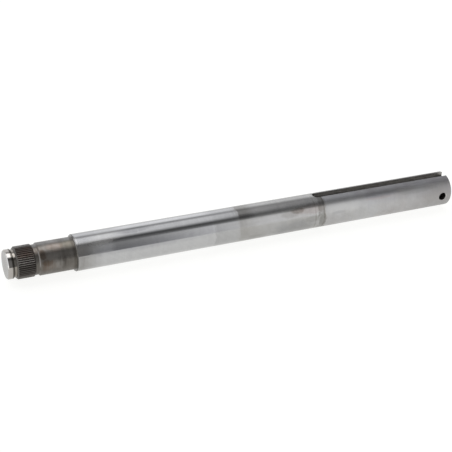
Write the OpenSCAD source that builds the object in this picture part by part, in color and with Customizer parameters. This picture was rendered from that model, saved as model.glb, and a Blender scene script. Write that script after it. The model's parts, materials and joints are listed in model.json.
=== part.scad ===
// Steel half-shaft axle, turned from one bar, lying with its axis along X.
// X = 0 is the face of the splined end, the plain wheel end is at +X, and the keyway faces +Z.

/* [Splined end] */
// Diameter of the plain land at the splined end
end_land_d = 20; // [18:0.1:22]
// Length of that land, from the end face to the ring groove
end_land_length = 4.4; // [3:0.05:8]
// Chamfer round the end face
end_chamfer = 0.65; // [0.2:0.05:1.5]
// Chamfer on the land's other edge, beside the ring groove
land_edge_chamfer = 0.45; // [0.1:0.05:1]
// Width of the groove for the retaining ring
ring_groove_width = 1.7; // [0.8:0.05:2.5]
// Depth of that groove below the land
ring_groove_depth = 0.6; // [0.4:0.05:1.5]

/* [Spline] */
// Number of teeth
tooth_count = 48; // [36:1:60]
// Diameter over the teeth
spline_d = 22; // [21:0.1:24]
// Length of the toothed stretch, with the slopes at its two ends
spline_length = 12.3; // [8:0.1:30]
// Depth of the gaps between the teeth
tooth_depth = 0.55; // [0.3:0.05:0.8]
// Width of the flat crest of a tooth
tooth_crest = 0.25; // [0.1:0.01:0.5]
// Width of the flat at the bottom of a gap
tooth_root = 0.15; // [0.05:0.01:0.4]
// Lead-in chamfer at the start of the teeth
spline_lead_in = 1; // [0.7:0.05:1.5]
// Length of the slope from the teeth down into the relief
spline_run_out = 0.8; // [0.4:0.05:1.5]

/* [Relief and journal] */
// Width of the relief that the tooth cutter runs out into
relief_width = 2.5; // [1.5:0.1:8]
// Depth of the relief below the bottom of the teeth
relief_clearance = 0.25; // [0.1:0.05:0.6]
// Diameter of the inner journal
journal_d = 22.2; // [22:0.1:24]
// Length of the inner journal, from the relief to the shoulder
journal_length = 24.95; // [10:0.05:60]
// Length of the slope from the relief up to the journal
journal_lead_in = 0.9; // [0.3:0.05:1.5]
// Fillet in the corner between the journal and the shoulder
shoulder_fillet = 0.3; // [0.2:0.05:1]

/* [Body] */
// Diameter of the body, which runs in the outer bearing and carries the wheel
body_d = 25.4; // [24.5:0.1:32]
// Length of the body, from the shoulder to the wheel end
body_length = 295.05; // [200:0.05:500]
// Chamfer on the shoulder
shoulder_chamfer = 0.5; // [0.2:0.05:1]
// Chamfer round the wheel end
wheel_end_chamfer = 0.4; // [0.3:0.05:2]

/* [Keyway] */
// Width of the keyway
keyway_width = 6.35; // [4:0.05:8]
// Depth of the keyway, from the crown of the shaft to its floor
keyway_depth = 3.58; // [2:0.01:5]
// Length of the keyway, from the wheel end to the tip of its round end
keyway_length = 114.3; // [40:0.1:180]

/* [Cross hole] */
// Diameter of the hole through the wheel end
cross_hole_d = 6; // [3:0.1:7]
// Distance of its axis from the wheel end
cross_hole_from_end = 7.65; // [5:0.05:30]
// Chamfer at both mouths of the hole
cross_hole_chamfer = 0.4; // [0.1:0.05:0.8]

/* [Hidden] */
$fn = 96;
// Length by which a cutter passes through the faces that it opens
overrun = 1;

// Radii
end_land_r = end_land_d / 2;
ring_groove_r = end_land_r - ring_groove_depth;
spline_r = spline_d / 2;
tooth_root_r = spline_r - tooth_depth;
relief_r = tooth_root_r - relief_clearance;
journal_r = journal_d / 2;
body_r = body_d / 2;
keyway_floor = body_r - keyway_depth;

// Places along the shaft, from the splined end
ring_groove_start = end_land_length;
spline_start = ring_groove_start + ring_groove_width;
spline_end = spline_start + spline_length;
journal_start = spline_end + relief_width;
shoulder = journal_start + journal_length;
wheel_end = shoulder + body_length;
keyway_round_centre = wheel_end - keyway_length + keyway_width / 2;
cross_hole_centre = wheel_end - cross_hole_from_end;

// The land's edge break stays within the depth of the ring groove
land_edge = min(land_edge_chamfer, 0.75 * ring_groove_depth);

// The two edge breaks in the shoulder's corner share its height
shoulder_height = body_r - journal_r;
fillet = min(shoulder_fillet, 0.4 * shoulder_height);
corner = min(shoulder_chamfer, 0.4 * shoulder_height);

// Half section of the turned blank, as [radius, place along the shaft]
function turned_section() = [
    [0, 0],
    [end_land_r - end_chamfer, 0],
    [end_land_r, end_chamfer],
    [end_land_r, ring_groove_start - land_edge],
    [end_land_r - land_edge, ring_groove_start],
    [ring_groove_r, ring_groove_start],
    [ring_groove_r, spline_start],
    [spline_r - spline_lead_in, spline_start],
    [spline_r, spline_start + spline_lead_in],
    [spline_r, spline_end - spline_run_out],
    [relief_r, spline_end],
    [relief_r, journal_start],
    [journal_r, journal_start + journal_lead_in],
    [journal_r, shoulder],
    [body_r - corner, shoulder],
    [body_r, shoulder + corner],
    [body_r, wheel_end - wheel_end_chamfer],
    [body_r - wheel_end_chamfer, wheel_end],
    [0, wheel_end]
];

// Corner fillet between the journal and the shoulder face
module shoulder_fillet_section() {
    translate([journal_r, shoulder - fillet])
        difference() {
            square(fillet);
            translate([fillet, 0]) circle(fillet);
        }
}

module turned_blank() {
    rotate([0, 90, 0])
        rotate_extrude() {
            polygon(turned_section());
            shoulder_fillet_section();
        }
}

// Cutter for one gap between two teeth: a V with a flat bottom, run out into the relief
module tooth_gap() {
    pitch = PI * spline_d / tooth_count;
    crest_half = (pitch - tooth_crest) / 2;
    root_half = tooth_root / 2;
    flare = (crest_half - root_half) / tooth_depth;
    outer_r = spline_r + overrun;
    outer_half = crest_half + overrun * flare;
    run = spline_length + relief_width / 2;
    translate([spline_start, 0, 0])
        rotate([90, 0, 90])
            linear_extrude(run)
                polygon([
                    [-root_half, tooth_root_r],
                    [root_half, tooth_root_r],
                    [outer_half, outer_r],
                    [-outer_half, outer_r]
                ]);
}

module spline_gaps() {
    for (i = [0 : tooth_count - 1])
        rotate([i * 360 / tooth_count, 0, 0])
            tooth_gap();
}

// Keyway cut by an end mill: open at the wheel end, round at its inner end
module keyway_cut() {
    cut_height = keyway_depth + overrun;
    translate([keyway_round_centre, 0, keyway_floor])
        cylinder(d = keyway_width, h = cut_height);
    translate([keyway_round_centre, -keyway_width / 2, keyway_floor])
        cube([wheel_end + overrun - keyway_round_centre, keyway_width, cut_height]);
}

// Hole drilled square to the keyway, right through, with both mouths chamfered
module cross_hole_cut() {
    hole_r = cross_hole_d / 2;
    flare = cross_hole_chamfer + overrun;
    translate([cross_hole_centre, 0, 0])
        rotate([90, 0, 0]) {
            cylinder(r = hole_r, h = body_d + 2 * overrun, center = true);
            for (side = [0, 1])
                mirror([0, 0, side])
                    translate([0, 0, body_r - cross_hole_chamfer])
                        cylinder(r1 = hole_r, r2 = hole_r + flare, h = flare);
        }
}

module axle() {
    color([0.74, 0.74, 0.76])
        difference() {
            turned_blank();
            spline_gaps();
            keyway_cut();
            cross_hole_cut();
        }
}

axle();
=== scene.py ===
import json
import math

import bpy
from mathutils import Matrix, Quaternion, Vector


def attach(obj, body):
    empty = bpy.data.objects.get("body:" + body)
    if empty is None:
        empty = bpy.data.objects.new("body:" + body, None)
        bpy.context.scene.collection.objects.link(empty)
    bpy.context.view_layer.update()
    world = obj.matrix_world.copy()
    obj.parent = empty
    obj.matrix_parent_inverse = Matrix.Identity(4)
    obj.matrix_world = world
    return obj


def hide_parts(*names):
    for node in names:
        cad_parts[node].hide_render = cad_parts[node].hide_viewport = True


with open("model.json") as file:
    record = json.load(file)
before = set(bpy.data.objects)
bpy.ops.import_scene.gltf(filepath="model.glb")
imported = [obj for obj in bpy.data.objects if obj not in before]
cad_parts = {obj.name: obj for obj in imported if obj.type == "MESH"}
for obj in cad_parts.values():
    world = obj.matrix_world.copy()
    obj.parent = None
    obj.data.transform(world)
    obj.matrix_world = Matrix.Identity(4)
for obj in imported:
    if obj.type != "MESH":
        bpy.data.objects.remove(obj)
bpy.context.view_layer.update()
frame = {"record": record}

# The bar: one round bar of medium-carbon steel, turned between centres to all its steps.
# Its half section runs from the splined end's face to the wheel end, and is spun about the axis.
# Every step has a small chamfer or slope, and the shoulder has a fillet at its root.
MM = 0.001
mounts = {mount["name"]: mount for mount in frame["record"]["mounts"]}
body_r = mounts["body_seat"]["dims"]["r_mm"] * MM
journal_r = mounts["inner_journal"]["dims"]["r_mm"] * MM
shoulder = mounts["shoulder_face"]["pos_m"][0]
wheel_end = mounts["wheel_end_face"]["pos_m"][0]
end_land_r = 10.0 * MM
end_land_length = 4.4 * MM
end_chamfer = 0.65 * MM
land_edge_chamfer = 0.45 * MM
ring_groove_r = 9.4 * MM
tooth_count = 48
tooth_depth = 0.55 * MM
spline_r = 11.0 * MM
spline_start = 6.1 * MM
spline_end = 18.4 * MM
spline_lead_in = 1.0 * MM
spline_run_out = 0.8 * MM
tooth_root_r = spline_r - tooth_depth
relief_r = spline_r - spline_run_out
journal_start = 20.9 * MM
journal_lead_in = journal_r - relief_r
shoulder_fillet = 0.3 * MM
shoulder_chamfer = 0.5 * MM
wheel_end_chamfer = 0.4 * MM
segments_per_tooth = 10
lead_rings = 4
body_rings = 24
merge_gap = 0.002 * MM


def fillet_arc(place, radius, size, steps=5):
    arc = []
    for i in range(steps + 1):
        turn = 0.5 * math.pi * i / steps
        arc.append((place - size + size * math.sin(turn), radius + size - size * math.cos(turn)))
    return arc


def spline_section():
    points = [(spline_start, spline_r - spline_lead_in)]
    for i in range(lead_rings + 1):
        rise = tooth_depth * i / lead_rings
        points.append((spline_start + spline_lead_in - tooth_depth + rise, tooth_root_r + rise))
    for i in range(lead_rings + 1):
        fall = tooth_depth * i / lead_rings
        points.append((spline_end - spline_run_out + fall, spline_r - fall))
    points.append((spline_end, relief_r))
    return points


def body_section():
    first = shoulder + shoulder_chamfer
    last = wheel_end - wheel_end_chamfer
    return [(first + (last - first) * i / body_rings, body_r) for i in range(body_rings + 1)]


turned_section = [
    (0.0, 0.0),
    (0.0, end_land_r - end_chamfer),
    (end_chamfer, end_land_r),
    (end_land_length - land_edge_chamfer, end_land_r),
    (end_land_length, end_land_r - land_edge_chamfer),
    (end_land_length, ring_groove_r),
    (spline_start, ring_groove_r),
    *spline_section(),
    (journal_start, relief_r),
    (journal_start + journal_lead_in, journal_r),
    *fillet_arc(shoulder, journal_r, shoulder_fillet),
    (shoulder, body_r - shoulder_chamfer),
    *body_section(),
    (wheel_end, body_r - wheel_end_chamfer),
    (wheel_end, 0.0),
]


def turn_on_lathe(name, section, segments):
    bpy.ops.object.select_all(action="DESELECT")
    bpy.ops.mesh.primitive_plane_add(size=MM)
    piece = bpy.context.object
    piece.name = piece.data.name = name
    bpy.ops.object.mode_set(mode="EDIT")
    bpy.ops.mesh.select_all(action="SELECT")
    bpy.ops.mesh.merge(type="CENTER")
    for (place, radius), (next_place, next_radius) in zip(section, section[1:]):
        step = (next_place - place, 0.0, next_radius - radius)
        bpy.ops.mesh.extrude_vertices_move(TRANSFORM_OT_translate={"value": step})
    bpy.ops.mesh.select_all(action="SELECT")
    bpy.ops.mesh.spin(steps=segments, angle=2 * math.pi, center=(0, 0, 0), axis=(1, 0, 0))
    bpy.ops.mesh.select_all(action="SELECT")
    bpy.ops.mesh.remove_doubles(threshold=merge_gap)
    bpy.ops.mesh.normals_make_consistent(inside=False)
    bpy.ops.object.mode_set(mode="OBJECT")
    return piece


axle = turn_on_lathe("axle_shaft", turned_section, tooth_count * segments_per_tooth)


# The body: the long stretch between the shoulder and the wheel end, ground bright all over.
# The half beside the shoulder is polished, a bearing has dulled the middle and left a ring mark,
# and the keyed stretch where a hub sat is satin.
def add_node(tree, kind, settings=None, **inputs):
    made = tree.nodes.new(kind)
    for name, value in (settings or {}).items():
        setattr(made, name, value)
    # An input goes by its name, or by its number after an i where names repeat
    for name, value in inputs.items():
        socket = made.inputs[int(name[1:]) if name[1:].isdigit() else name.replace("_", " ")]
        if hasattr(value, "is_output"):
            tree.links.new(value, socket)
        else:
            socket.default_value = value
    return made


def math_node(tree, operation, *values):
    inputs = {f"i{i}": value for i, value in enumerate(values)}
    return add_node(tree, "ShaderNodeMath", {"operation": operation}, **inputs).outputs[0]


def range_node(tree, value, low, high, first=0.0, last=1.0, curve="SMOOTHSTEP"):
    settings = {"interpolation_type": curve}
    ends = {"From Min": low, "From Max": high, "To Min": first, "To Max": last}
    return add_node(tree, "ShaderNodeMapRange", settings, Value=value, **ends).outputs["Result"]


def new_group(name, inputs, outputs):
    group = bpy.data.node_groups.new(name, "ShaderNodeTree")
    for socket, kind in inputs.items():
        group.interface.new_socket(socket, in_out="INPUT", socket_type="NodeSocket" + kind)
    for socket in outputs:
        group.interface.new_socket(socket, in_out="OUTPUT", socket_type="NodeSocketFloat")
    entry = group.nodes.new("NodeGroupInput").outputs
    leave = group.nodes.new("NodeGroupOutput").inputs
    return group, entry, leave


def place_on_shaft_group():
    outputs = ("Along", "Around", "Off Axis", "Height")
    group, entry, leave = new_group("place_on_shaft", {"Place": "Vector"}, outputs)
    axes = add_node(group, "ShaderNodeSeparateXYZ", i0=entry["Place"]).outputs
    ahead = math_node(group, "MULTIPLY", axes["Y"], -1.0)
    turn = math_node(group, "ARCTAN2", axes["Z"], ahead)
    across = math_node(group, "POWER", axes["Y"], 2.0)
    height = math_node(group, "POWER", axes["Z"], 2.0)
    off_axis = math_node(group, "SQRT", math_node(group, "ADD", across, height))
    group.links.new(math_node(group, "DIVIDE", axes["X"], MM), leave["Along"])
    group.links.new(math_node(group, "DEGREES", turn), leave["Around"])
    group.links.new(math_node(group, "DIVIDE", off_axis, MM), leave["Off Axis"])
    group.links.new(math_node(group, "DIVIDE", axes["Z"], MM), leave["Height"])
    return group


def band_group():
    inputs = {"Value": "Float", "Low": "Float", "High": "Float", "Blur": "Float"}
    group, entry, leave = new_group("band", inputs, ("Mask",))
    edges = []
    for edge in ("Low", "High"):
        before = math_node(group, "SUBTRACT", entry[edge], entry["Blur"])
        after = math_node(group, "ADD", entry[edge], entry["Blur"])
        edges.append(range_node(group, entry["Value"], before, after))
    group.links.new(math_node(group, "SUBTRACT", *edges), leave["Mask"])
    return group


def streaky(tree, place):
    noise = add_node(tree, "ShaderNodeTexNoise", Vector=place, Scale=1.0, Detail=4.0, Roughness=0.6)
    return range_node(tree, noise.outputs["Fac"], 0.3, 0.7, curve="LINEAR")


def turning_marks_group():
    group, entry, leave = new_group("turning_marks", {"Place": "Vector", "Pitch": "Float"}, ("Marks",))
    closeness = math_node(group, "DIVIDE", 1 / MM, entry["Pitch"])
    slow_across = 45.0
    stretch = add_node(group, "ShaderNodeCombineXYZ", X=closeness, Y=slow_across, Z=slow_across).outputs[0]
    settings = {"operation": "MULTIPLY"}
    wound = add_node(group, "ShaderNodeVectorMath", settings, i0=entry["Place"], i1=stretch)
    group.links.new(streaky(group, wound.outputs[0]), leave["Marks"])
    return group


def clouds_group():
    inputs = {"Place": "Vector", "Size": "Float", "Seed": "Float"}
    group, entry, leave = new_group("clouds", inputs, ("Clouds",))
    closeness = math_node(group, "DIVIDE", 1 / MM, entry["Size"])
    settings = {"noise_dimensions": "4D"}
    grain = {"Scale": closeness, "Detail": 5.0, "Roughness": 0.6}
    noise = add_node(group, "ShaderNodeTexNoise", settings, Vector=entry["Place"], W=entry["Seed"], **grain)
    group.links.new(range_node(group, noise.outputs["Fac"], 0.35, 0.65), leave["Clouds"])
    return group


def wipe_marks_group():
    inputs = {"Along": "Float", "Around": "Float", "Per Length": "Float", "Per Turn": "Float"}
    group, entry, leave = new_group("wipe_marks", inputs, ("Marks",))
    turn = math_node(group, "MULTIPLY", entry["Around"], entry["Per Turn"])
    slant = math_node(group, "MULTIPLY_ADD", entry["Along"], entry["Per Length"], turn)
    slow_along = 0.04
    slow_around = -0.02
    back = math_node(group, "MULTIPLY", entry["Around"], slow_around)
    run = math_node(group, "MULTIPLY_ADD", entry["Along"], slow_along, back)
    where = add_node(group, "ShaderNodeCombineXYZ", X=slant, Y=run).outputs[0]
    group.links.new(streaky(group, where), leave["Marks"])
    return group


def stain_group():
    inputs = {
        "Along": "Float", "Around": "Float", "Middle": "Float", "Turn": "Float",
        "Reach": "Float", "Spread": "Float", "Blur": "Float", "Drift": "Float",
    }
    group, entry, leave = new_group("stain", inputs, ("Mask",))
    squares = []
    for value, middle, reach in (("Along", "Middle", "Reach"), ("Around", "Turn", "Spread")):
        offset = math_node(group, "SUBTRACT", entry[value], entry[middle])
        squares.append(math_node(group, "POWER", math_node(group, "DIVIDE", offset, entry[reach]), 2.0))
    distance = math_node(group, "SQRT", math_node(group, "ADD", *squares))
    ragged = math_node(group, "ADD", distance, entry["Drift"])
    inner = math_node(group, "SUBTRACT", 1.0, entry["Blur"])
    outer = math_node(group, "ADD", 1.0, entry["Blur"])
    group.links.new(range_node(group, ragged, inner, outer, 1.0, 0.0), leave["Mask"])
    return group


place_on_shaft = place_on_shaft_group()
band = band_group()
turning_marks = turning_marks_group()
clouds = clouds_group()
wipe_marks = wipe_marks_group()
stain = stain_group()


class Finish:
    def __init__(self, name, colour, roughness):
        self.material = bpy.data.materials.new(name)
        self.material.use_nodes = True
        self.tree = self.material.node_tree
        self.shader = self.tree.nodes["Principled BSDF"]
        self.shader.inputs["Metallic"].default_value = 1.0
        self.place = self.tree.nodes.new("ShaderNodeTexCoord").outputs["Object"]
        where = self.group(place_on_shaft, Place=self.place).outputs
        self.along, self.around, self.off_axis, self.height = where
        self.colour = (*colour, 1.0)
        self.roughness = roughness

    def group(self, group, **inputs):
        return add_node(self.tree, "ShaderNodeGroup", {"node_tree": group}, **inputs)

    def band(self, value, low, high, blur):
        return self.group(band, Value=value, Low=low, High=high, Blur=blur).outputs["Mask"]

    def marks(self, pitch):
        return self.group(turning_marks, Place=self.place, Pitch=pitch).outputs["Marks"]

    def wipes(self, per_length, per_turn):
        inputs = {"Per Length": per_length, "Per Turn": per_turn}
        return self.group(wipe_marks, Along=self.along, Around=self.around, **inputs).outputs["Marks"]

    def clouds(self, size, seed):
        return self.group(clouds, Place=self.place, Size=size, Seed=seed).outputs["Clouds"]

    def stain(self, middle, turn, reach, spread, drift, blur=0.35):
        place = {"Along": self.along, "Around": self.around, "Middle": middle, "Turn": turn}
        size = {"Reach": reach, "Spread": spread, "Drift": drift, "Blur": blur}
        return self.group(stain, **place, **size).outputs["Mask"]

    def drift(self, cloud, reach):
        return math_node(self.tree, "MULTIPLY_ADD", cloud, 2.0 * reach, -reach)

    def shifted(self, value, drift):
        return math_node(self.tree, "ADD", value, drift)

    def both(self, *masks):
        mask = masks[0]
        for other in masks[1:]:
            mask = math_node(self.tree, "MULTIPLY", mask, other)
        return mask

    def patchy(self, mask, cloud, least):
        thickness = math_node(self.tree, "MULTIPLY_ADD", cloud, 1.0 - least, least)
        return self.both(mask, thickness)

    def tint(self, mask, colour, blend="MULTIPLY"):
        settings = {"data_type": "RGBA", "blend_type": blend}
        mixed = add_node(self.tree, "ShaderNodeMix", settings, i0=mask, i6=self.colour, i7=(*colour, 1.0))
        self.colour = mixed.outputs[2]

    def tint_stains(self, drift, stains):
        for middle, turn, reach, spread, colour in stains:
            self.tint(self.stain(middle, turn, reach, spread, drift), colour)

    def dull(self, mask, amount):
        self.roughness = math_node(self.tree, "MULTIPLY_ADD", mask, amount, self.roughness)

    def close(self, height, depth):
        bump = add_node(self.tree, "ShaderNodeBump", Height=height, Strength=1.0, Distance=depth * MM)
        self.tree.links.new(bump.outputs["Normal"], self.shader.inputs["Normal"])
        self.tree.links.new(self.colour, self.shader.inputs["Base Color"])
        self.tree.links.new(self.roughness, self.shader.inputs["Roughness"])


def finish_faces(piece, material, belongs):
    bpy.ops.object.select_all(action="DESELECT")
    bpy.context.view_layer.objects.active = piece
    piece.select_set(True)
    piece.data.materials.append(material)
    piece.active_material_index = len(piece.data.materials) - 1
    bpy.ops.object.mode_set(mode="EDIT")
    bpy.ops.mesh.select_mode(type="FACE")
    bpy.ops.mesh.select_all(action="DESELECT")
    bpy.ops.object.mode_set(mode="OBJECT")
    for face in piece.data.polygons:
        face.select = belongs(face)
    bpy.ops.object.mode_set(mode="EDIT")
    bpy.ops.object.material_slot_assign()
    bpy.ops.object.mode_set(mode="OBJECT")


# Places are in mm from the splined end, and turns in degrees up from the level of the axis in front.
# A band that is open at one side ends beyond the shaft.
beyond = 400.0
ground = Finish("ground_steel", (0.54, 0.54, 0.541), 0.11)
fine_marks = ground.marks(0.35)
streaks = ground.marks(1.6)
broad_marks = ground.marks(4.5)
small_clouds = ground.clouds(6.0, 1.0)
large_clouds = ground.clouds(24.0, 2.0)
ragged = ground.drift(small_clouds, 0.16)
ragged_along = ground.shifted(ground.along, ground.drift(small_clouds, 1.2))
under_side = ground.both(
    ground.band(ground.around, -beyond, 15.0, 4.0),
    ground.band(ground.around, -125.0, beyond, 40.0),
)
front = ground.band(ground.around, 15.0, 50.0, 5.0)
upper_front = ground.band(ground.around, 54.0, 82.0, 7.0)
crown = ground.band(ground.around, 52.0, 150.0, 8.0)
far_crown = ground.band(ground.around, 100.0, 165.0, 7.0)
ground.tint(fine_marks, (0.95, 0.95, 0.95))
ground.tint(broad_marks, (0.955, 0.955, 0.96))
ground.tint(ground.both(large_clouds, crown), (0.94, 0.94, 0.945))
ground.tint(ground.both(broad_marks, crown), (0.95, 0.95, 0.955))
ground.tint(far_crown, (0.80, 0.80, 0.80))
polished_along = ground.band(ground.along, 76.0, 142.0, 5.0)
polished = ground.both(polished_along, ground.band(ground.around, 84.0, 102.0, 5.0))
ground.tint(ground.patchy(polished, broad_marks, 0.55), (0.62, 0.62, 0.628), "MIX")
slant_wipes = ground.wipes(0.35, 0.09)
length_wipes = ground.wipes(0.01, 0.4)
ground.tint(ground.both(slant_wipes, under_side), (0.94, 0.94, 0.935))
# Painted shade beside the shoulder, with a brown tone in front
shoulder_shade_and_tint = ground.patchy(ground.band(ground.along, 40.0, 56.5, 10.0), streaks, 0.7)
# painted shade: the under side beside the shoulder is darkened, standing for the darker reflection there
ground.tint(ground.both(shoulder_shade_and_tint, under_side), (0.60, 0.585, 0.56))
ground.tint(ground.both(shoulder_shade_and_tint, front), (0.79, 0.76, 0.715))
haze = ground.both(ground.patchy(ground.band(ragged_along, 56.5, 71.0, 3.5), streaks, 0.6), front)
wipe_slant = math_node(ground.tree, "MULTIPLY_ADD", ground.around, -0.8, 39.0)
wiped_along = ground.band(ground.shifted(ragged_along, wipe_slant), 30.0, 72.0, 4.0)
wiped = ground.both(wiped_along, ground.band(ground.around, 43.0, 56.0, 5.0))
ground.tint(wiped, (0.57, 0.56, 0.548), "MIX")
bright_start = ground.both(ground.band(ground.along, 57.0, 74.0, 7.0), upper_front)
ground.tint(ground.patchy(bright_start, streaks, 0.5), (0.62, 0.614, 0.607), "MIX")
ground.tint(ground.stain(89.0, 72.0, 12.0, 9.0, ragged), (0.80, 0.80, 0.81))
ground.tint(ground.stain(88.0, 20.0, 44.0, 12.0, ragged, 0.9), (0.77, 0.77, 0.79))
# Painted shade on the shoulder's face, a painted shadow at its top, and a painted highlight on the edge
# behind it
shoulder_face_shade = ground.band(ground.along, 40.0, 46.45, 0.1)
# painted shade on the shoulder's face and chamfer
ground.tint(shoulder_face_shade, (0.42, 0.41, 0.395))
ground.tint(ground.both(shoulder_face_shade, upper_front), (0.42, 0.41, 0.40), "MIX")
crown_edge = ground.band(ground.along, 40.0, 46.9, 0.3)
# painted shadow at the top of the shoulder
shoulder_top_shadow = ground.both(crown_edge, ground.band(ground.around, 78.0, 92.0, 5.0))
ground.tint(shoulder_top_shadow, (0.60, 0.60, 0.60))
# painted highlight on the body's edge behind the shoulder
shoulder_edge_highlight = ground.both(ground.band(ground.along, 46.6, 47.6, 0.2), upper_front)
ground.tint(shoulder_edge_highlight, (0.61, 0.602, 0.597), "MIX")
# Stretch dulled by the bearing, with a dried film at its start and painted shade on its upper front
dulled = ground.band(ragged_along, 145.5, 233.0, 0.8)
warm = ground.patchy(ground.band(ground.along, 163.0, 232.0, 2.5), large_clouds, 0.5)
streaked_along = ground.shifted(ground.along, ground.drift(streaks, 0.5))
film_along = ground.shifted(streaked_along, ground.drift(small_clouds, 0.8))
film_and_shade_stretch = ground.band(film_along, 164.4, 232.3, 1.0)
film = ground.both(film_and_shade_stretch, ground.band(ground.along, -beyond, 174.0, 5.0))
ground.tint(ground.both(dulled, under_side), (0.86, 0.86, 0.855))
before_film = ground.band(ground.along, -beyond, 167.0, 8.0)
ground.tint(ground.both(dulled, front, before_film), (0.91, 0.91, 0.905))
ground.tint(warm, (0.965, 0.955, 0.93))
ground.tint(film, (0.92, 0.915, 0.905))
ground.tint(ground.both(film, crown), (0.75, 0.745, 0.735))
# painted shade: the upper front is darkened from the film's start to the ring mark
ground.tint(ground.both(film_and_shade_stretch, upper_front), (0.78, 0.775, 0.78))
dark_film = ground.both(film_and_shade_stretch, ground.stain(167.0, 52.0, 8.0, 8.0, ragged, 0.7))
ground.tint(dark_film, (0.68, 0.675, 0.69))
ground.tint(ground.both(film_and_shade_stretch, small_clouds), (0.95, 0.945, 0.94))
ground.tint(ground.both(dulled, front, length_wipes), (0.94, 0.935, 0.925))
# Grey stains on the under side, and brown ones in front beside the ring mark
ground.tint_stains(ragged, (
    (178.0, -34.0, 6.5, 15.0, (0.88, 0.88, 0.875)),
    (208.0, -32.0, 15.5, 38.0, (0.81, 0.815, 0.825)),
    (210.0, 40.0, 5.0, 9.0, (0.67, 0.635, 0.61)),
    (204.0, 33.0, 6.5, 12.0, (0.84, 0.83, 0.82)),
    (221.0, 38.0, 10.0, 17.0, (0.85, 0.805, 0.79)),
    (221.0, 4.0, 7.0, 11.0, (0.84, 0.84, 0.835)),
))
# Ring mark that the bearing's edge left
ring_mark = ground.patchy(ground.band(ragged_along, 227.0, 232.0, 0.8), small_clouds, 0.7)
ring_edge = ground.patchy(ground.band(ground.along, 230.6, 232.1, 0.4), small_clouds, 0.5)
ring_line = ground.patchy(ground.band(ground.along, 223.8, 224.6, 0.3), small_clouds, 0.4)
ground.tint(ring_mark, (0.62, 0.615, 0.595))
ground.tint(ring_edge, (0.68, 0.66, 0.63))
ground.tint(ring_line, (0.78, 0.76, 0.73))
# Satin stretch round the keyway, with faint grey and pink stains
satin = ground.band(ground.along, 232.2, beyond, 0.6)
tail = ground.band(ground.along, 305.0, beyond, 24.0)
ground.tint(ground.both(satin, ground.clouds(11.0, 7.0)), (0.935, 0.93, 0.92))
ground.tint(ground.both(satin, large_clouds), (0.92, 0.895, 0.885))
ground.tint(ground.both(satin, small_clouds), (0.975, 0.975, 0.98))
ground.tint(ground.both(satin, far_crown), (0.79, 0.79, 0.785))
ground.tint(ground.both(satin, upper_front), (0.82, 0.825, 0.85))
# painted pool of light on the front of the satin stretch
satin_light_pool = ground.both(satin, ground.stain(245.0, 28.0, 18.0, 14.0, ragged, 0.9))
ground.tint(satin_light_pool, (0.62, 0.615, 0.60), "MIX")
ground.tint(tail, (0.95, 0.945, 0.945))
ground.tint_stains(ragged, (
    (243.0, 12.0, 5.5, 5.0, (0.88, 0.88, 0.89)),
    (279.0, 46.0, 15.0, 9.0, (0.89, 0.893, 0.92)),
    (277.0, 36.0, 11.0, 5.0, (0.95, 0.90, 0.895)),
    (310.0, 40.0, 16.0, 10.0, (0.87, 0.875, 0.87)),
    (311.0, 70.0, 12.0, 8.0, (0.87, 0.87, 0.87)),
    (336.0, 0.0, 17.0, 40.0, (0.94, 0.935, 0.93)),
))
ground.dull(fine_marks, 0.03)
ground.dull(haze, 0.15)
ground.dull(wiped, 0.11)
ground.dull(dulled, 0.03)
ground.dull(warm, 0.05)
ground.dull(satin, 0.2)
ground.dull(tail, 0.14)
ground.close(fine_marks, 0.0012)
finish_faces(axle, ground.material, lambda face: True)


# The end land: the plain polished stretch at the splined end, faced off and chamfered.
# The retaining ring's groove beside it holds a dark film of old grease and painted shade.
face_margin = 0.01 * MM


def facing_rings_group():
    inputs = {"Off Axis": "Float", "Pitch": "Float"}
    group, entry, leave = new_group("facing_rings", inputs, ("Rings",))
    turns = math_node(group, "DIVIDE", entry["Off Axis"], entry["Pitch"])
    settings = {"noise_dimensions": "1D"}
    noise = add_node(group, "ShaderNodeTexNoise", settings, W=turns, Scale=1.0, Detail=4.0)
    group.links.new(noise.outputs["Fac"], leave["Rings"])
    return group


facing_rings = facing_rings_group()


def rings_on(finish, pitch):
    inputs = {"Off Axis": finish.off_axis, "Pitch": pitch}
    return finish.group(facing_rings, **inputs).outputs["Rings"]


land = Finish("land_steel", (0.46, 0.44, 0.415), 0.08)
land_marks = land.marks(0.3)
land_clouds = land.clouds(3.0, 3.0)
end_face = land.band(land.along, -beyond, 0.02, 0.01)
face_middle = land.both(end_face, land.band(land.off_axis, -beyond, 5.0, 4.0))
groove_grease_and_shade = land.patchy(land.band(land.along, 4.2, 6.3, 0.1), land_clouds, 0.85)
land_edge_shade = land.band(land.along, 2.95, 4.3, 0.25)
groove_underside_shade = land.both(groove_grease_and_shade, land.band(land.around, -130.0, 15.0, 5.0))
land.tint(land_marks, (0.95, 0.95, 0.95))
land.tint(land_clouds, (0.95, 0.94, 0.93))
front_chamfer = land.band(land.around, 15.0, 76.0, 9.0)
# painted highlight on the end chamfer in front
chamfer_highlight = land.both(land.band(land.along, 0.05, 0.6, 0.04), front_chamfer)
land.tint(chamfer_highlight, (0.88, 0.87, 0.85), "MIX")
land.tint(end_face, (0.34, 0.333, 0.322), "MIX")
land.tint(face_middle, (0.74, 0.735, 0.725))
land.tint(land.both(end_face, rings_on(land, 0.5)), (0.88, 0.88, 0.88))
# grease and painted shade in the groove, with more painted shade on its under side
land.tint(groove_grease_and_shade, (0.70, 0.68, 0.645))
land.tint(groove_underside_shade, (0.80, 0.79, 0.77))
# painted shade and dark reflection at the land's edge beside the groove
land.tint(land_edge_shade, (0.27, 0.26, 0.24))
land.dull(groove_grease_and_shade, 0.05)
land.dull(end_face, 0.12)
land.dull(land_marks, 0.04)
land.close(land_marks, 0.0012)
finish_faces(axle, land.material, lambda face: face.center.x < spline_start - face_margin)


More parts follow.
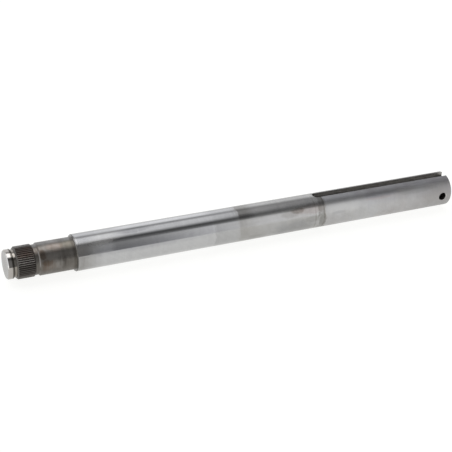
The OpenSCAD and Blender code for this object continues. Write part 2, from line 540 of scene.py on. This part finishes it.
# The wheel end's face: the plain end of the bar, faced off on the lathe and left as turned.
# Fine rings from the tool's feed make it duller than the ground body.
faced = Finish("faced_steel", (0.52, 0.515, 0.51), 0.28)
facing_marks = rings_on(faced, 0.4)
faced_clouds = faced.clouds(5.0, 11.0)
faced.tint(facing_marks, (0.82, 0.82, 0.82))
faced.tint(faced_clouds, (0.90, 0.89, 0.875))
faced.dull(faced_clouds, 0.08)
faced.close(facing_marks, 0.003)
finish_faces(axle, faced.material, lambda face: face.center.x > wheel_end - face_margin)


# The spline: 48 straight teeth that drive the axle, cut in the turned blank with a form cutter
# which runs out into the relief. The gaps are V shaped with a narrow flat bottom, and the teeth are
# blackened, with worn crests.
tooth_pitch = 2 * math.pi * spline_r / tooth_count
tooth_crest = 0.25 * MM
tooth_root = 0.15 * MM
cut_tolerance = 0.001 * MM
gap_half_at_crest = 0.5 * (tooth_pitch - tooth_crest)
gap_half_at_root = 0.5 * tooth_root


def gap_radius(step):
    across = tooth_pitch * min(step, segments_per_tooth - step) / segments_per_tooth
    rise = (across - gap_half_at_root) / (gap_half_at_crest - gap_half_at_root)
    return tooth_root_r + tooth_depth * min(max(rise, 0.0), 1.0)


def cut_teeth(piece):
    turn_step = 2 * math.pi / (tooth_count * segments_per_tooth)
    jobs = {}
    for vertex in piece.data.vertices:
        x, y, z = vertex.co
        if spline_start < x < spline_end:
            step = round(math.atan2(y, z) / turn_step) % segments_per_tooth
            radius = math.hypot(y, z)
            wanted = gap_radius(step)
            if radius > wanted + cut_tolerance:
                job = (round(radius / MM, 3), round(wanted / MM, 3))
                jobs.setdefault(job, []).append(vertex.index)
    bpy.ops.object.mode_set(mode="EDIT")
    bpy.ops.mesh.select_mode(type="VERT")
    for (radius, wanted), indices in jobs.items():
        bpy.ops.mesh.select_all(action="DESELECT")
        bpy.ops.object.mode_set(mode="OBJECT")
        for index in indices:
            piece.data.vertices[index].select = True
        bpy.ops.object.mode_set(mode="EDIT")
        scale = wanted / radius
        bpy.ops.transform.resize(value=(1.0, scale, scale), center_override=(0, 0, 0))
    bpy.ops.object.mode_set(mode="OBJECT")


cut_teeth(axle)
blackened = Finish("blackened_teeth", (0.066, 0.058, 0.0525), 0.36)
tooth_clouds = blackened.clouds(2.5, 4.0)
rust_clouds = blackened.clouds(5.0, 10.0)
crests = blackened.band(blackened.off_axis, 10.86, beyond, 0.1)
lead_in = blackened.band(blackened.along, 5.9, 6.9, 0.15)
upper_teeth = blackened.band(blackened.around, 44.0, 96.0, 8.0)
bottom_teeth = blackened.band(blackened.around, -90.0, -30.0, 6.0)
top_teeth = blackened.band(blackened.around, 94.0, 170.0, 9.0)
blackened.tint(tooth_clouds, (0.80, 0.77, 0.74))
blackened.tint(crests, (0.14, 0.13, 0.12), "MIX")
# painted highlight on the crests in front
crest_highlight = blackened.both(crests, blackened.band(blackened.around, 18.0, 56.0, 9.0))
blackened.tint(blackened.patchy(crest_highlight, tooth_clouds, 0.4), (0.42, 0.397, 0.371), "MIX")
blackened.tint(blackened.patchy(upper_teeth, rust_clouds, 0.3), (0.90, 0.74, 0.68))
# painted reflection: the teeth underneath are lightened as if they mirrored the white table
blackened.tint(blackened.patchy(bottom_teeth, rust_clouds, 0.5), (0.19, 0.18, 0.168), "MIX")
blackened.tint(blackened.patchy(top_teeth, rust_clouds, 0.6), (0.275, 0.265, 0.256), "MIX")
blackened.tint(lead_in, (0.165, 0.157, 0.147), "MIX")
blackened.dull(tooth_clouds, 0.12)
blackened.close(tooth_clouds, 0.006)
finish_faces(
    axle,
    blackened.material,
    lambda face: spline_start - face_margin < face.center.x < spline_end - face_margin,
)


# The relief and the journal: turned down for the cutter's run-out and ground for the inner bearing.
# Heat from a running bearing has tinted them straw and bronze brown.
tinted = Finish("heat_tinted_steel", (0.23, 0.2175, 0.2005), 0.35)
journal_marks = tinted.marks(0.5)
journal_streaks = tinted.marks(1.1)
journal_rings = tinted.marks(3.0)
journal_clouds = tinted.clouds(3.5, 5.0)
journal_patches = tinted.clouds(9.0, 6.0)
journal_drift = tinted.drift(journal_clouds, 0.3)
straw_side = tinted.band(tinted.around, 49.0, 81.0, 7.0)
grey_crown = tinted.band(tinted.around, 82.0, 160.0, 6.0)
tinted.tint(straw_side, (0.365, 0.345, 0.32), "MIX")
tinted.tint(grey_crown, (0.285, 0.279, 0.273), "MIX")
tinted.tint(tinted.both(journal_patches, straw_side), (0.97, 0.91, 0.88))
tinted.tint(journal_clouds, (0.87, 0.86, 0.85))
tinted.tint(journal_rings, (0.86, 0.85, 0.84))
tinted.tint(journal_marks, (0.94, 0.935, 0.93))
# Brown, rusty and dark stains, from the relief to the shoulder
tinted.tint_stains(journal_drift, (
    (23.0, 41.0, 2.6, 17.0, (0.66, 0.59, 0.54)),
    (32.0, 66.0, 5.0, 18.0, (1.0, 0.945, 0.92)),
    (41.5, 66.0, 4.0, 18.0, (0.90, 0.915, 0.86)),
    (25.4, 13.0, 3.6, 11.0, (0.74, 0.69, 0.65)),
    (37.2, 8.0, 1.4, 17.0, (0.76, 0.755, 0.75)),
))
tinted.tint(tinted.stain(34.4, 2.0, 2.6, 12.0, journal_drift, 0.8), (0.255, 0.242, 0.226), "MIX")
rust = tinted.stain(26.5, 2.0, 4.5, 24.0, journal_drift)
dark_streaks = tinted.stain(39.0, 8.0, 5.5, 26.0, journal_drift)
tinted.tint(tinted.patchy(rust, journal_streaks, 0.0), (0.84, 0.72, 0.65))
tinted.tint(tinted.patchy(dark_streaks, journal_streaks, 0.1), (0.60, 0.595, 0.58))
for start, end in ((21.9, 24.4), (35.9, 38.2)):
    tinted.tint(tinted.band(tinted.along, start, end, 0.9), (0.84, 0.83, 0.82))
# Grey relief, a painted highlight on the edge where the journal starts, painted shade in the corner under
# the shoulder
relief = tinted.band(tinted.along, -beyond, 20.4, 0.5)
journal_edge = tinted.band(tinted.along, 20.8, 21.4, 0.15)
tinted.tint(relief, (0.80, 0.795, 0.79))
edge_front = tinted.band(tinted.around, 2.0, 58.0, 10.0)
# painted highlight on the journal's lead-in edge in front
tinted.tint(tinted.both(journal_edge, edge_front), (0.36, 0.347, 0.33), "MIX")
film_top = tinted.band(tinted.around, 62.0, 96.0, 8.0)
start_film = tinted.both(tinted.band(tinted.along, 20.5, 21.8, 0.4), film_top)
tinted.tint(start_film, (0.68, 0.665, 0.65))
# painted shade in the corner under the shoulder
tinted.tint(tinted.band(tinted.along, 43.8, 46.2, 0.9), (0.70, 0.69, 0.67))
tinted.dull(journal_clouds, 0.06)
tinted.close(journal_marks, 0.0008)
finish_faces(
    axle,
    tinted.material,
    lambda face: spline_end - face_margin < face.center.x < shoulder - face_margin,
)


# The keyway: a slot for a square key, cut with an end mill from the wheel end inwards.
# The mill leaves a round inner end, straight walls and a flat floor, all dark with oil.
keyway_width = 6.35 * MM
keyway_length = 114.3 * MM
keyway_floor = mounts["keyway"]["pos_m"][2]
keyway_tip = wheel_end - keyway_length
overrun = 2.0 * MM


def cut_away(piece, cutter):
    bpy.ops.object.select_all(action="DESELECT")
    bpy.context.view_layer.objects.active = piece
    piece.select_set(True)
    bpy.ops.object.modifier_add(type="BOOLEAN")
    cut = piece.modifiers[-1]
    cut.operation = "DIFFERENCE"
    cut.solver = "EXACT"
    cut.material_mode = "TRANSFER"
    cut.object = cutter
    bpy.ops.object.modifier_apply(modifier=cut.name)
    bpy.data.objects.remove(cutter)


def end_mill_path():
    bpy.ops.object.select_all(action="DESELECT")
    bpy.ops.mesh.primitive_circle_add(vertices=96, radius=keyway_width / 2, fill_type="NGON")
    cutter = bpy.context.object
    bpy.ops.object.mode_set(mode="EDIT")
    bpy.ops.mesh.select_mode(type="VERT")
    bpy.ops.mesh.select_all(action="DESELECT")
    bpy.ops.object.mode_set(mode="OBJECT")
    for vertex in cutter.data.vertices:
        vertex.select = vertex.co.x > -face_margin
    bpy.ops.object.mode_set(mode="EDIT")
    run = wheel_end + overrun - keyway_tip - keyway_width
    bpy.ops.transform.translate(value=(run, 0, 0))
    bpy.ops.mesh.select_all(action="SELECT")
    bpy.ops.transform.translate(value=(keyway_tip + keyway_width / 2, 0, keyway_floor))
    rise = (0, 0, body_r + overrun - keyway_floor)
    bpy.ops.mesh.extrude_region_move(TRANSFORM_OT_translate={"value": rise})
    bpy.ops.mesh.select_all(action="SELECT")
    bpy.ops.mesh.normals_make_consistent(inside=False)
    bpy.ops.object.mode_set(mode="OBJECT")
    return cutter


milled = Finish("milled_steel", (0.64, 0.63, 0.617), 0.34)
slot_floor = milled.band(milled.height, -beyond, keyway_floor / MM + 0.15, 0.1)
mill_marks = milled.marks(0.6)
oil_clouds = milled.clouds(5.0, 8.0)
milled.tint(mill_marks, (0.88, 0.875, 0.87))
milled.tint(oil_clouds, (0.86, 0.85, 0.835))
# painted shade in the keyway's round inner end
milled.tint(milled.band(milled.along, 226.0, 229.8, 0.6), (0.45, 0.44, 0.43))
milled.tint(milled.band(milled.along, 230.4, 232.6, 0.8), (0.50, 0.49, 0.478), "MIX")
milled.tint(milled.band(milled.along, 335.5, beyond, 1.2), (0.72, 0.715, 0.70))
milled.tint(slot_floor, (0.34, 0.335, 0.325))
milled.dull(oil_clouds, 0.1)
milled.close(mill_marks, 0.004)
cutter = end_mill_path()
cutter.data.materials.append(milled.material)
cut_away(axle, cutter)


# The cross hole: drilled square to the keyway through the wheel end, for the pin that keeps
# the hub on. Both mouths are countersunk a little to clear the burr.
hole_r = mounts["cross_hole"]["dims"]["r_mm"] * MM
hole_place = mounts["cross_hole"]["pos_m"][0]
hole_chamfer = 0.4 * MM


def drill():
    bpy.ops.object.select_all(action="DESELECT")
    bpy.ops.mesh.primitive_circle_add(vertices=72, radius=hole_r + hole_chamfer + overrun)
    cutter = bpy.context.object
    bpy.ops.object.mode_set(mode="EDIT")
    bpy.ops.mesh.select_all(action="SELECT")
    bpy.ops.transform.translate(value=(0, 0, -body_r - overrun))
    steps = (
        (overrun + hole_chamfer, hole_r),
        (2 * (body_r - hole_chamfer), hole_r),
        (overrun + hole_chamfer, hole_r + hole_chamfer + overrun),
    )
    radius = hole_r + hole_chamfer + overrun
    for rise, next_radius in steps:
        bpy.ops.mesh.extrude_region_move(TRANSFORM_OT_translate={"value": (0, 0, rise)})
        scale = next_radius / radius
        bpy.ops.transform.resize(value=(scale, scale, 1.0))
        radius = next_radius
    bpy.ops.mesh.select_all(action="SELECT")
    bpy.ops.mesh.fill_holes(sides=0)
    bpy.ops.mesh.select_all(action="SELECT")
    quarter = math.pi / 2
    bpy.ops.transform.rotate(value=quarter, orient_axis="X", center_override=(0, 0, 0))
    bpy.ops.transform.translate(value=(hole_place, 0, 0))
    bpy.ops.mesh.normals_make_consistent(inside=False)
    bpy.ops.object.mode_set(mode="OBJECT")
    return cutter


# the hole's near-black colour is painted shade inside it
drilled = Finish("drilled_steel", (0.09, 0.085, 0.08), 0.6)
chip_clouds = drilled.clouds(2.0, 9.0)
# painted highlight: a glint on the countersunk mouth
mouth_glint = drilled.band(drilled.off_axis, 11.9, beyond, 0.5)
drilled.tint(mouth_glint, (0.66, 0.65, 0.63), "MIX")
drilled.dull(mouth_glint, -0.3)
drilled.tint(chip_clouds, (0.75, 0.73, 0.70))
drilled.dull(chip_clouds, 0.1)
drilled.close(chip_clouds, 0.01)
cutter = drill()
cutter.data.materials.append(drilled.material)
cut_away(axle, cutter)


# The finished shaft: one piece of steel, with its round stretches smooth and every edge and tooth
# crisp. It stands for the whole CAD node and has nothing that moves.
crisp_edge = math.radians(25)
bpy.ops.object.select_all(action="DESELECT")
bpy.context.view_layer.objects.active = axle
axle.select_set(True)
bpy.ops.object.shade_smooth_by_angle(angle=crisp_edge)
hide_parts("axle")
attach(axle, "root")


# The studio: the shaft lies on a plain white table in a white tent. The tent's roof is lit over the
# splined end and shaded over the wheel end, and its open front is dim where the camera stands.
def level_ramp(tree, value, whole, levels):
    ramp = add_node(tree, "ShaderNodeValToRGB", Fac=math_node(tree, "DIVIDE", value, whole))
    stops = ramp.color_ramp.elements
    while len(stops) < len(levels):
        stops.new(0.5)
    for stop, (place, level) in zip(stops, levels):
        stop.position = place / whole
        stop.color = (level, level, level, 1.0)
    return ramp.outputs["Color"]


def mixed_level(tree, share, first, second):
    settings = {"data_type": "FLOAT"}
    return add_node(tree, "ShaderNodeMix", settings, i0=share, i2=first, i3=second).outputs[0]


tent = bpy.data.worlds.new("tent")
bpy.context.scene.world = tent
tent.use_nodes = True
tree = tent.node_tree
sky = tree.nodes["Background"]
ray = tree.nodes.new("ShaderNodeTexCoord").outputs["Generated"]
axes = add_node(tree, "ShaderNodeSeparateXYZ", i0=ray).outputs
ahead = math_node(tree, "MULTIPLY", axes["Y"], -1.0)
roll = math_node(tree, "DEGREES", math_node(tree, "ARCTAN2", axes["Z"], ahead))
splined_end_roof = (
    (45, 0.0), (56, 0.20), (64, 0.10), (72, 0.11), (80, 0.52), (89, 0.92), (98, 0.98), (107, 1.0),
    (115, 0.96), (121, 0.58), (126, 0.46), (131, 0.48), (139, 0.95), (150, 1.10), (164, 1.06),
    (180, 0.88),
)
wheel_end_roof = (
    (45, 0.0), (56, 0.40), (66, 0.19), (80, 0.20), (92, 0.37), (104, 0.43), (116, 0.45), (126, 0.50),
    (132, 0.62), (140, 0.88), (152, 1.0), (164, 0.97), (180, 0.86),
)
open_front = (
    (0.0, 0.25), (0.27, 0.25), (0.296, 0.28), (0.338, 0.62), (0.36, 0.80), (0.38, 0.92), (0.395, 1.12),
    (0.465, 1.18), (0.50, 0.95), (1.0, 0.93),
)
near_roof = level_ramp(tree, roll, 180, splined_end_roof)
far_roof = level_ramp(tree, roll, 180, wheel_end_roof)
toward_wheel_end = range_node(tree, axes["X"], 0.382, 0.412)
roof = mixed_level(tree, toward_wheel_end, near_roof, far_roof)
aside = math_node(tree, "ABSOLUTE", axes["X"])
front_part = range_node(tree, roll, 45, 56, 1.0, 0.0)
front_level = math_node(tree, "MULTIPLY", front_part, level_ramp(tree, aside, 1, open_front))
lamp = range_node(tree, axes["X"], 0.195, 0.225, 1.8, 0.0)
for lamp_edge in (
    range_node(tree, roll, 76, 88),
    range_node(tree, roll, 112, 124, 1.0, 0.0),
    range_node(tree, axes["X"], 0.04, 0.13),
):
    lamp = math_node(tree, "MULTIPLY", lamp, lamp_edge)
level = math_node(tree, "ADD", roof, math_node(tree, "ADD", front_level, lamp))
end_wall = range_node(tree, axes["X"], -0.90, -0.60, 1.0, 0.0)
end_wall_level = 0.75
level = mixed_level(tree, end_wall, level, end_wall_level)
cool_white = (0.972, 0.98, 1.0)
settings = {"operation": "SCALE"}
cloth = add_node(tree, "ShaderNodeVectorMath", settings, i0=cool_white, Scale=level).outputs[0]
path = tree.nodes.new("ShaderNodeLightPath")
settings = {"data_type": "RGBA"}
white = (1.0, 1.0, 1.0, 1.0)
seen = add_node(tree, "ShaderNodeMix", settings, i0=path.outputs["Is Camera Ray"], i6=cloth, i7=white)
tree.links.new(seen.outputs[2], sky.inputs["Color"])

bpy.ops.object.select_all(action="DESELECT")
table_size = 12.0
table_middle = 0.17
bpy.ops.mesh.primitive_plane_add(size=table_size, location=(table_middle, 0, -body_r))
table = bpy.context.object
table.name = "table"
white_table = bpy.data.materials.new("white_table")
white_table.use_nodes = True
tree = white_table.node_tree
shader = tree.nodes["Principled BSDF"]
shader.inputs["Base Color"].default_value = (0.25, 0.25, 0.25, 1.0)
shader.inputs["Roughness"].default_value = 0.9
path = tree.nodes.new("ShaderNodeLightPath")
mirrored = math_node(tree, "MAXIMUM", path.outputs["Is Glossy Ray"], path.outputs["Is Transmission Ray"])
mirrored_level = 0.80
seen_level = 0.87
glow = math_node(tree, "MULTIPLY", mirrored, mirrored_level)
glow = math_node(tree, "MULTIPLY_ADD", path.outputs["Is Camera Ray"], seen_level, glow)
shader.inputs["Emission Color"].default_value = (1.0, 1.0, 0.985, 1.0)
tree.links.new(glow, shader.inputs["Emission Strength"])
table.data.materials.append(white_table)

scene = bpy.context.scene
scene.view_settings.view_transform = "Standard"


# The camera: a long lens at the splined end's side, above the shaft and tilted a little, as for a
# catalogue picture. Its focal length is given in pixels of the picture's width.
picture_width = 452
focal_length = 1100
sensor_width = 36.0
camera_place = Vector((-0.1351, -0.6105, 0.3845))
camera_aim = Vector((0.1586, 0.0, -0.0002))
camera_roll = math.radians(3.347)
camera_data = bpy.data.cameras.new("camera")
camera_data.sensor_width = sensor_width
camera_data.lens = sensor_width * focal_length / picture_width
camera = bpy.data.objects.new("camera", camera_data)
scene.collection.objects.link(camera)
camera.location = camera_place
camera.rotation_mode = "QUATERNION"
look = (camera_aim - camera_place).to_track_quat("-Z", "Y")
camera.rotation_quaternion = look @ Quaternion((0, 0, 1), camera_roll)
scene.camera = camera
